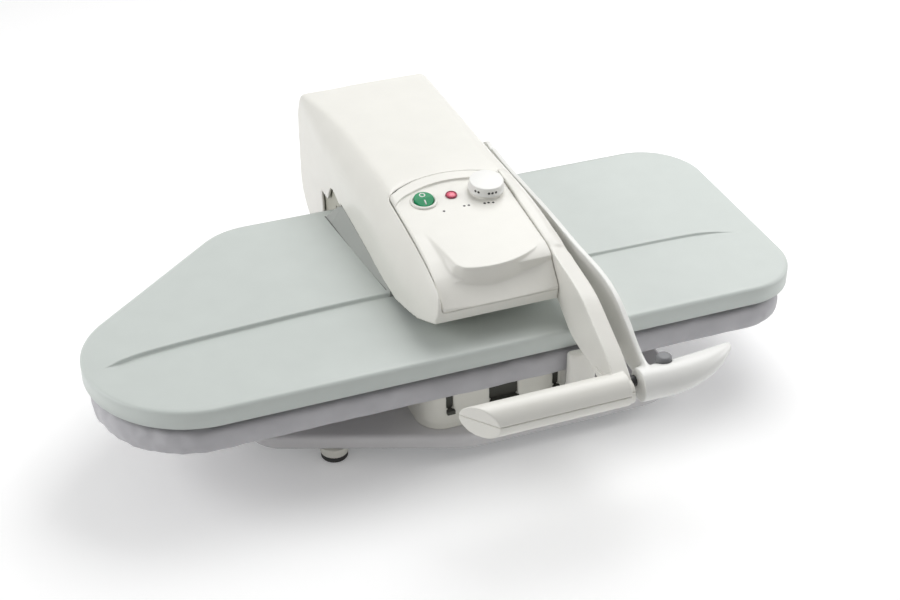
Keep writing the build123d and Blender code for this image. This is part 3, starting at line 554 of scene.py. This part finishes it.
def puff(piece):
    """Short cloth simulation under pressure, then a cap on how far each point has moved."""
    start = [v.co.copy() for v in piece.data.vertices]
    pinned = piece.vertex_groups.new(name="pinned")
    for v in piece.data.vertices:
        along, depth, _ = place_of(v.co)
        if board_gap(along, depth) > 20:
            pinned.add([v.index], 1.0, "REPLACE")
    swell = piece.modifiers.new("cloth", "CLOTH")
    settings = swell.settings
    settings.quality = 5
    settings.mass = 0.3
    settings.use_pressure = True
    settings.uniform_pressure_force = 4
    settings.tension_stiffness = 12
    settings.compression_stiffness = 4
    settings.shear_stiffness = 4
    settings.bending_stiffness = 0.05
    settings.effector_weights.gravity = 0
    settings.vertex_group_mass = "pinned"
    settings.shrink_min = -0.02
    swell.point_cache.frame_start = 1
    swell.point_cache.frame_end = PUFF_FRAMES
    scene = bpy.context.scene
    for step in range(1, PUFF_FRAMES + 1):
        scene.frame_set(step)
    settle(piece)
    scene.frame_set(1)
    for v, home in zip(piece.data.vertices, start):
        move = v.co - home
        if move.length > BULGE_CAP * MM:
            v.co = home + move * (BULGE_CAP * MM / move.length)


def crumple(piece):
    """Soft diagonal wrinkles round the nose and drawn pleats under the edge."""
    normals = [v.normal.copy() for v in piece.data.vertices]
    for v, outward in zip(piece.data.vertices, normals):
        along, depth, height = place_of(v.co)
        gap = board_gap(along, depth)
        if gap > 40:
            continue
        side = 1 - smoothstep(10, 22, gap)
        angle = atan2(depth - 100, along - 120)
        nose = 1 - smoothstep(60, 190, along)
        place = Vector((along * 0.018, depth * 0.018, height * 0.06))
        wave = field.noise(place)
        fold = sin(angle * 30 + height * 0.22 + 2.4 * field.noise(place * 2.1)) * (0.35 * nose + 0.05)
        middle = smoothstep(-49, -43, height)
        pleat = sin(angle * 150 + 3 * field.noise(place * 3)) * smoothstep(12, 18, gap) * (1 - middle) * 0.4
        v.co += outward * MM * (side * middle * (0.5 * wave + fold) + pleat)
        v.co.z = min(v.co.z, at(0, 0, BOARD_TOP + 0.2).z)


def build_pad():
    """Padded board in its cloth, in place of the foam and the cover."""
    piece = pad_form()
    remesh = piece.modifiers.new("remesh", "REMESH")
    remesh.mode = "VOXEL"
    remesh.voxel_size = 5 * MM
    settle(piece)
    puff(piece)
    calm = piece.modifiers.new("calm", "SMOOTH")
    calm.iterations = 2
    divide = piece.modifiers.new("divide", "SUBSURF")
    divide.levels = 1
    divide.render_levels = 1
    settle(piece)
    crumple(piece)
    stand_in(piece, "board_cover")
    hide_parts("foam_pad")


# Controls on the pad

def mark(name, work, place, body, slot):
    """Small printed or inlaid mark at a place."""
    piece = from_bmesh(name, work)
    piece.data.transform(place)
    dress(piece, body, slot)


def disc(work, x, y, radius, thick, steps=20):
    """Flat disc in millimetres with a chamfered edge."""
    rings = []
    for r, z in ((radius, -0.1), (radius, thick * 0.6), (radius * 0.9, thick)):
        turns = [2 * pi * i / steps for i in range(steps)]
        rings.append([work.verts.new(((x + r * cos(turn)) * MM, (y + r * sin(turn)) * MM, z * MM))
                      for turn in turns])
    bridge(work, rings)
    work.faces.new(rings[-1])
    work.faces.new(list(reversed(rings[0])))


# Printed dots as along and depth, and the angles of those on the dial's side
DOTS = [(344.2, 122.5), (364.8, 124.4), (369.1, 124.1), (384.1, 122.5), (387.9, 122.2), (392.1, 121.2)]
KNOB_DOTS = [-150, -138, -103, -91, -78]


def build_dial():
    """Dial with the dots on its side, and the printed dots round it."""
    knob_place = on_pad(KNOB_AT, KNOB_RISE)
    profile = [(0, 0.2), (16.4, 0.2), (17.1, 0.5), (17.1, 1.2), (16.5, 1.6)]
    profile += [(16.2, 2.0)] + rounded(16.1, 9.0, 1.0) + [(0, 9.05)]
    knob = turned("dial_knob", profile, knob_place, 128)
    stand_in(knob, "temperature_knob")
    work = bmesh.new()
    for turn in KNOB_DOTS:
        spin = Matrix.Rotation(radians(turn), 4, "Z")
        face = spin @ Matrix.Translation((16.2 * MM, 0, 4.4 * MM)) @ Matrix.Rotation(pi / 2, 4, "Y")
        before = len(work.verts)
        disc(work, 0, 0, 1.2, 0.12)
        work.verts.ensure_lookup_table()
        bmesh.ops.transform(work, matrix=face, verts=work.verts[before:])
    mark("dial_dots", work, knob_place, "knob", "dark_plastic")

    work = bmesh.new()
    for along, depth in DOTS:
        disc(work, along - KNOB_AT[0], (depth - KNOB_AT[1]) / cos(PAD_TILT), 1.25, 0.08)
    mark("scale_dots", work, on_pad(KNOB_AT), "arm", "dark_plastic")


def build_switch():
    """Rocker switch in its ring, with O and I raised a little from its two faces."""
    place = on_pad(SWITCH_AT)
    ring = [(10.0, -6), (10.0, 1.2), (10.5, 1.8), (12.1, 1.8), (12.9, 1.0), (13.0, 0), (11.0, -0.5)]
    collar = turned("switch_ring", ring, place, 96)
    stand_in(collar, "switch_housing")
    moulding("power_switch", 0.3, 8, 0.5)
    ring_mark = [(1.9, 0), (2.0, 0.25), (2.9, 0.25), (3.0, 0), (2.9, -0.2), (2.0, -0.2), (1.9, 0)]
    rear = place @ Matrix.Translation((0, 4.4 * MM, 4.28 * MM)) @ Matrix.Rotation(radians(1.9), 4, "X")
    letter = turned("switch_off_mark", ring_mark, rear, 40)
    dress(letter, "switch", "white_plastic")
    front = place @ Matrix.Translation((0, -4.6 * MM, 2.58 * MM)) @ Matrix.Rotation(radians(19.7), 4, "X")
    work = bmesh.new()
    bmesh.ops.create_cube(work, size=1)
    bmesh.ops.transform(work, matrix=Matrix.Diagonal((1.3 * MM, 5.2 * MM, 0.5 * MM, 1)), verts=work.verts)
    bmesh.ops.bevel(work, geom=work.edges[:], offset=0.12 * MM, segments=2, affect="EDGES")
    mark("switch_on_mark", work, front, "switch", "white_plastic")


def build_lamp():
    """Pilot lamp: a faceted lens in a bezel."""
    place = on_pad(LAMP_AT)
    rim = [(4.3, -1), (4.3, 1.3), (4.7, 1.75), (5.2, 1.6), (5.5, 1.0), (5.5, 0), (4.9, -1)]
    bezel = turned("lamp_bezel", rim, place, 64)
    dress(bezel, "arm", "lamp_red", lamp_rim)
    lens = turned("lamp_window", [(4.4, -1), (4.4, 0.9), (3.6, 1.5), (2.0, 1.8), (0, 1.85)], place, 12)
    stand_in(lens, "lamp_lens")
    lens.data.shade_flat()


# Side profiles, as depth and height: the bracket behind the notch, and the skin round the notch
NOTCH_PANEL = [(256, 0), (256, 31), (342, 34), (342, -28), (283, -28), (283, 0)]
NOTCH_SKIN = [(323, 36), (323, -1.6), (301, -1.6), (298, 1), (294.5, 8), (291, 14.5), (287, 18),
              (282.5, 19.2), (277, 18.8), (270, 17), (262, 14.5), (256, 14), (256, 36)]


def add_prism(work, profile, start, stop):
    """Closed prism of a side profile between two places along the press."""
    left, right = [[work.verts.new(at(along, depth, height)) for depth, height in profile]
                   for along in (start, stop)]
    work.faces.new(left)
    work.faces.new(list(reversed(right)))
    for i in range(len(profile)):
        j = (i + 1) % len(profile)
        work.faces.new((left[i], right[i], right[j], left[j]))


def build_notch_panel():
    """Inner wall that shows in the notch of the left flank, in a darker copy of the cream plastic that
    paints the shade inside the notch.
    """
    work = bmesh.new()
    add_prism(work, NOTCH_PANEL, 289.6, 291.4)
    piece = from_bmesh("notch_panel", work)
    dress(piece, "arm", "cream_plastic", notch_painted_shade)
    piece.data.shade_flat()


def build_screw():
    """Head of the screw between the two levers at the grips."""
    place = Matrix.Translation(at(435.2, -88, 0)) @ Matrix.Rotation(pi / 2, 4, "Y")
    head = turned("lever_screw", [(0, 3.0), (1.2, 2.6), (3.6, 2.0), (4.4, 0.8), (4.4, 0), (0, 0)], place, 32)
    dress(head, "handle", "dark_plastic")


def local_smooth(piece, weight, rounds):
    """Smooths a piece where a function of along, depth and height gives weight."""
    group = piece.vertex_groups.new(name="soft")
    for v in piece.data.vertices:
        amount = weight(*place_of(v.co))
        if amount > 0.01:
            group.add([v.index], amount, "REPLACE")
    smooth = piece.modifiers.new("soft", "SMOOTH")
    smooth.iterations = rounds
    smooth.vertex_group = "soft"
    settle(piece)
    piece.vertex_groups.clear()


# Left edge of the pad and height of the strip beside it, against depth
PAD_EDGE = [(20, 352), (32, 347), (35, 338), (38, 330), (42, 325), (46, 322), (70, 318.3), (89, 315.8),
            (111, 312.6), (147, 312), (170, 312)]
STRIP = [(14, 30), (18, 34.2), (22, 38.2), (26, 42.0), (30, 45.6), (34, 48.9), (38, 51.8), (42, 54.2),
         (50, 57.6), (60, 61.0), (80, 65.6), (100, 69.0), (111, 70.1)]
# Slabs under the strips beside the pad: from and to along, from and to depth
STRIP_BACKS = [(304.8, 316, 96, 151), (407, 414, 96, 151), (308, 335, 140, 158)]
STRIP_SUNK, STRIP_BACK_THICK = 0.5, 3


def back_up(mesh):
    """Thickens the fascia's strips beside the pad from below, which a remesh would otherwise break open."""
    work = bmesh.new()
    work.from_mesh(mesh)
    for low, high, front, rear in STRIP_BACKS:
        corners = []
        for along in (low, high):
            for depth in (front, rear):
                top = pad_height(depth) - STRIP_SUNK
                corners += [work.verts.new(at(along, depth, top)),
                            work.verts.new(at(along, depth, top - STRIP_BACK_THICK))]
        bmesh.ops.convex_hull(work, input=corners)
    work.to_mesh(mesh)
    work.free()


def sculpt_fascia(piece):
    """Lets the surface fall away beside the pad's front left corner."""
    normals = [v.normal.copy() for v in piece.data.vertices]
    for v, outward in zip(piece.data.vertices, normals):
        along, depth, height = place_of(v.co)
        if depth > 111 or height < 26 or along > 352:
            continue
        limit = along_line(STRIP, depth) - (2.5 if outward.z < -0.2 else 0)
        beside = 1 - smoothstep(-1.0, 3.5, along - along_line(PAD_EDGE, depth))
        v.co.z -= beside * max(0.0, height - limit) * MM
    local_smooth(piece, lambda a, d, h: (1 - smoothstep(318, 330, a)) * smoothstep(30, 40, h)
                 * (1 - smoothstep(60, 90, d)), 40)


def soften_shoulder(piece):
    """Rounds the housing where its left flank turns into its top."""
    local_smooth(piece, lambda a, d, h: (1 - smoothstep(318, 345, a)) * smoothstep(46, 66, h)
                 * smoothstep(60, 160, d), 90)


def add_notch_skin(mesh):
    """Narrows the left flank's notch to its two photographed lobes."""
    work = bmesh.new()
    add_prism(work, NOTCH_SKIN, 285.8, 288.8)
    bmesh.ops.recalc_face_normals(work, faces=work.faces)
    work.from_mesh(mesh)
    work.to_mesh(mesh)
    work.free()


# Disc that fills the joint between the outer lever and the right grip
ROOT_DISC_AT = (450.6, -95, 0)
ROOT_DISC_RADIUS, ROOT_DISC_THICK = 14.4, 4


def add_grip(mesh):
    """Joins the right grip to the root of the outer lever."""
    work = bmesh.new()
    work.from_mesh(mesh)
    work.from_mesh(frame["nodes"]["right_grip"].data)
    turn = Matrix.Rotation(pi / 2, 4, "Y")
    radius = ROOT_DISC_RADIUS * MM
    bmesh.ops.create_cone(work, cap_ends=True, segments=64, radius1=radius, radius2=radius,
                          depth=ROOT_DISC_THICK * MM, matrix=Matrix.Translation(at(*ROOT_DISC_AT)) @ turn)
    work.to_mesh(mesh)
    work.free()


def flow_into_grip(piece):
    """Lets the outer lever's blade run into the grip without a step, short of the button's socket."""
    local_smooth(piece, lambda a, d, h: (1 - smoothstep(-72, -52, d)) * smoothstep(438, 442, a)
                 * (1 - smoothstep(451, 457, a)), 90)


# Middle along and width of the pedestal's slots
SLOTS = [(309.5, 7), (413.5, 6), (362, 28)]


def build_slot_shade_backs():
    """Dark backs and floors in the slots of the pedestal's front edge: painted shade for the dark inside of
    the open slots.
    """
    work = bmesh.new()
    for along, width in SLOTS:
        half = width / 2 + 0.3
        for low, high in (((along - half, 19, -72.5), (along + half, 26.5, -49)),
                          ((along - half, 12.5, -74), (along + half, 26.5, -70.4))):
            corners = [work.verts.new(at(a, d, h)) for a in (low[0], high[0]) for d in (low[1], high[1])
                       for h in (low[2], high[2])]
            bmesh.ops.convex_hull(work, input=corners)
    piece = from_bmesh("pedestal_slot_shade_backs", work)
    dress(piece, "base", "dark_plastic", slot_shade)
    piece.data.shade_flat()


def blend_shoulder(piece):
    """Blends the lever's shoulder into its blade."""
    local_smooth(piece, lambda a, d, h: smoothstep(50, 54, h) * smoothstep(34, 41, d)
                 * (1 - smoothstep(48, 56, d)), 60)


build_cover()
build_wedge()
build_groove_shade()
build_pad()
build_dial()
build_switch()
build_lamp()
build_notch_panel()
build_slot_shade_backs()
build_screw()

# Voxel size in millimetres, rounds of smoothing and, where it isn't a half, the share of faces kept
moulding("arm_housing", 1.0, 5, prepare=add_notch_skin, shape=soften_shoulder)
moulding("fascia", 0.6, 5, prepare=back_up, shape=sculpt_fascia)
moulding("inner_lever", 0.7, 5, shape=blend_shoulder)
moulding("left_grip_cover", 0.6, 5)
moulding("outer_lever", 0.6, 5, prepare=add_grip, shape=flow_into_grip, also=("right_grip",))
moulding("steam_button", 0.4, 5)
moulding("base_tray", 1.2, 5, 0.4)
moulding("pedestal", 0.9, 5, 0.4)
moulding("column_cover", 1.0, 5)
moulding("lock_post", 0.6, 6)
moulding("foot_posts", 0.5, 4, 0.4)
moulding("foot_pads", 0.5, 4, 0.4)


# Stage, lights and camera

def light(name, place, target, size, power):
    """Square area lamp at a place in metres, aimed at a target."""
    lamp = bpy.data.lights.new(name, "AREA")
    lamp.shape = "SQUARE"
    lamp.size = size
    lamp.energy = power
    holder = bpy.data.objects.new(name, lamp)
    bpy.context.collection.objects.link(holder)
    holder.location = place
    holder.rotation_euler = (Vector(target) - Vector(place)).to_track_quat("-Z", "Y").to_euler()


FLOOR_LIFT = 0.14
SKY_LIGHT, SKY_SEEN = 0.38, 1.0
# Principal ray of the photograph's camera, from the two vanishing points in pixels
FOCAL = 1676
TILT_PIXELS, TURN_PIXELS = 1126, 5263
CAMERA_AT = (-453.1, -1249.5, 972.8)


def background_rays(tree):
    """One for the rays that show the background itself: seen directly, reflected or through glass."""
    path = tree.nodes.new("ShaderNodeLightPath")
    total = path.outputs["Is Camera Ray"]
    for kind in ("Is Glossy Ray", "Is Transmission Ray"):
        either = tree.nodes.new("ShaderNodeMath")
        either.operation = "MAXIMUM"
        tree.links.new(total, either.inputs[0])
        tree.links.new(path.outputs[kind], either.inputs[1])
        total = either.outputs["Value"]
    return total


def white_floor():
    """White ground that shows as pure white where no shadow falls."""
    bpy.ops.mesh.primitive_plane_add(size=12, location=(0, 0, 0))
    floor = bpy.context.object
    floor.name = "floor"
    made = new_material("floor_white", (0.95, 0.95, 0.95), 0.9)
    nodes = made.node_tree.nodes
    lift = nodes.new("ShaderNodeMapRange")
    lift.inputs["To Max"].default_value = FLOOR_LIFT
    link(made, background_rays(made.node_tree), lift.inputs["Value"])
    shader = nodes["Principled BSDF"]
    shader.inputs["Emission Color"].default_value = (1, 1, 1, 1)
    link(made, lift.outputs["Result"], shader.inputs["Emission Strength"])
    floor.data.materials.append(made)


def world_light():
    """Even white surroundings, brighter where they show as the background."""
    world = bpy.data.worlds.new("studio")
    bpy.context.scene.world = world
    world.use_nodes = True
    nodes = world.node_tree.nodes
    links = world.node_tree.links
    background = nodes["Background"]
    background.inputs["Color"].default_value = (1, 1, 1, 1)
    span = nodes.new("ShaderNodeMapRange")
    span.inputs["To Min"].default_value = SKY_LIGHT
    span.inputs["To Max"].default_value = SKY_SEEN
    links.new(background_rays(world.node_tree), span.inputs["Value"])
    links.new(span.outputs["Result"], background.inputs["Strength"])


def camera():
    """Camera of the photograph: place and direction solved from the cover's straight edges."""
    lens = bpy.data.cameras.new("camera")
    lens.sensor_width = 36
    lens.lens = 67.04
    lens.clip_end = 50
    holder = bpy.data.objects.new("camera", lens)
    bpy.context.collection.objects.link(holder)
    holder.location = Vector(CAMERA_AT) * MM
    down = atan2(TILT_PIXELS, FOCAL)
    turn = atan2(FOCAL, TURN_PIXELS * cos(down))
    ahead = Vector((sin(turn) * cos(down), cos(turn) * cos(down), -sin(down)))
    holder.rotation_euler = ahead.to_track_quat("-Z", "Y").to_euler()
    bpy.context.scene.camera = holder


white_floor()
world_light()
light("overhead", (0.60, 0.45, 1.30), (0.05, 0, 0.1), 1.1, 13.3)
light("left", (-1.45, 0.25, 0.85), (0, 0.05, 0.1), 0.9, 10.5)
light("right", (1.25, -0.25, 0.6), (0.2, 0, 0.1), 0.5, 3.6)
camera()
bpy.context.scene.view_settings.view_transform = "Standard"
